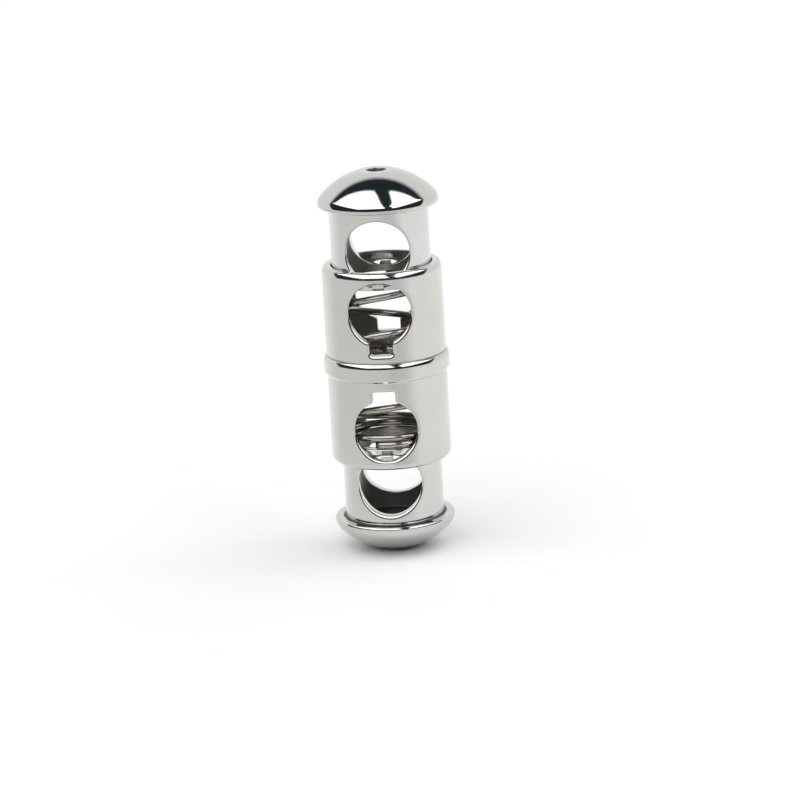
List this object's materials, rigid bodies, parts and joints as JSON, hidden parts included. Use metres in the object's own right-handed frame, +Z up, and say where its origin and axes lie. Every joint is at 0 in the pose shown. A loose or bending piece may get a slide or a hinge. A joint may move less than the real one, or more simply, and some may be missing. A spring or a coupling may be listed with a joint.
{
  "type": "cord lock",
  "caption": "Double-ended metal cord lock: a round two-shell barrel with cross holes, a sprung tube plunger in each end and a domed cap on each plunger.",
  "frame": {"origin": "centre of the small flat on the lower cap that the lock stands on", "axes": "+Z up along the barrel, cross holes along Y"},
  "size_m": [0.0126, 0.0126, 0.0386],
  "materials": {
    "barrel_plating": "bright nickel plate with a soft polish",
    "plunger_plating": "bright nickel plate",
    "cap_plating": "mirror nickel plate",
    "spring_wire": "drawn spring wire"
  },
  "bodies": {
    "barrel": {"barrel_upper_shell": "barrel_plating", "barrel_lower_shell": "barrel_plating", "spring": "spring_wire"},
    "upper_plunger": {"upper_plunger_tube": "plunger_plating", "upper_cap": "cap_plating"},
    "lower_plunger": {"lower_plunger_tube": "plunger_plating", "lower_cap": "cap_plating"}
  },
  "joints": [
    {"name": "upper_plunger_press", "type": "slide", "parent": "barrel", "child": "upper_plunger", "axis": [0, 0, -1], "range_m": [0, 0.00585], "stiffness_N_per_m": 900, "springref_m": -0.0015, "deforming": ["spring"]},
    {"name": "lower_plunger_press", "type": "slide", "parent": "barrel", "child": "lower_plunger", "axis": [0, 0, 1], "range_m": [0, 0.00585], "stiffness_N_per_m": 900, "springref_m": -0.0015, "deforming": ["spring"]}
  ]
}
